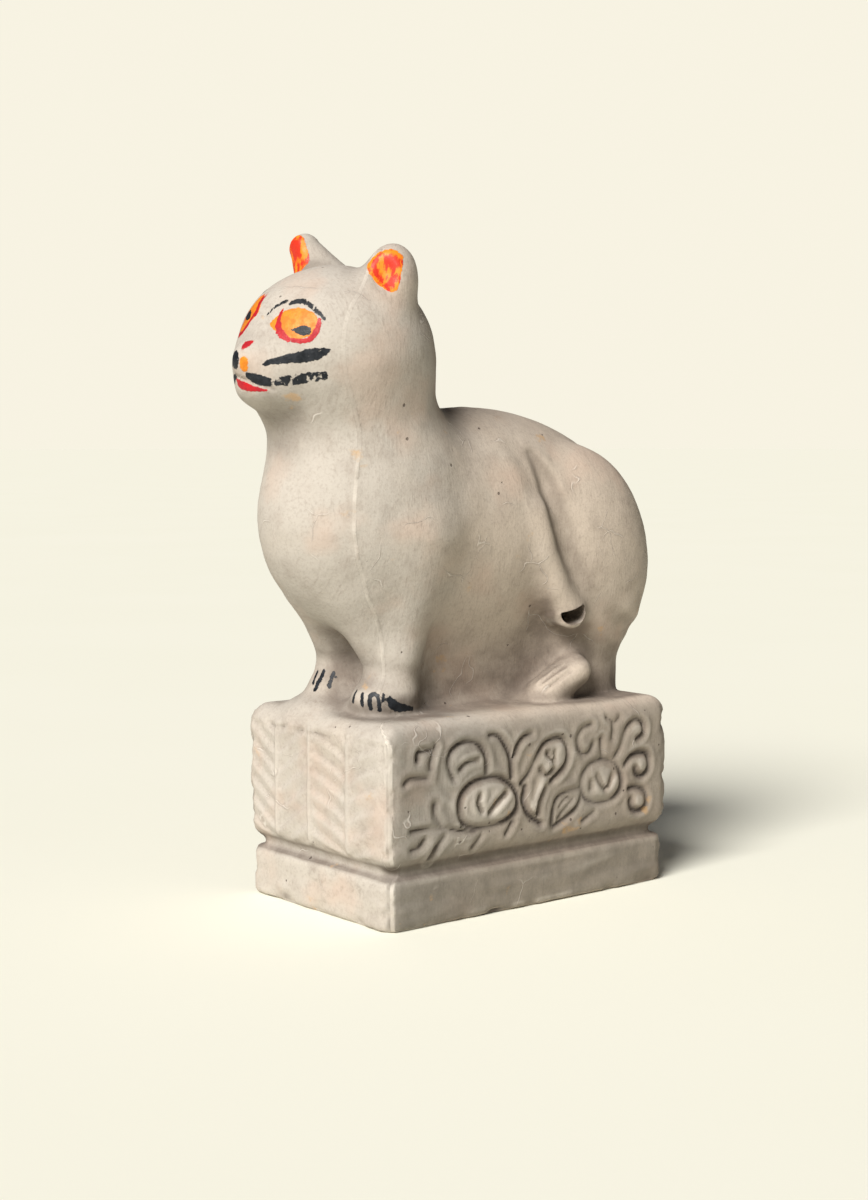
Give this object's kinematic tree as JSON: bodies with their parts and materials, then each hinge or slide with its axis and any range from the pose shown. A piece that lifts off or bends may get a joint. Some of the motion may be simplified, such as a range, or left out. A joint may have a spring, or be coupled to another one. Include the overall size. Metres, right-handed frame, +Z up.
{
  "type": "chalkware cat figure",
  "caption": "Hollow plaster cat standing on a rectangular moulded plinth, cast in two luted half shells and closed underneath by a slab.",
  "frame": {"origin": "centre of the plinth's underside, on the surface it stands on", "axes": "+Z up; the cat looks along -Y; +X is the cat's left side"},
  "size_m": [0.09, 0.1828, 0.2534],
  "materials": {
    "left_rear_plaster": "matt unglazed plaster, drab paint wash, handled grey-brown",
    "right_front_plaster": "matt unglazed plaster, with red, orange and black oil paint on the face, ears and claws",
    "slip_plaster": "matt trowelled plaster slip, slightly paler than the castings",
    "slab_plaster": "matt rough struck-off plaster"
  },
  "bodies": {
    "root": {"left_rear_casting": "left_rear_plaster", "right_front_casting": "right_front_plaster", "seam_slip": "slip_plaster", "closing_slab": "slab_plaster", "slab_bedding": "slip_plaster"}
  },
  "joints": []
}
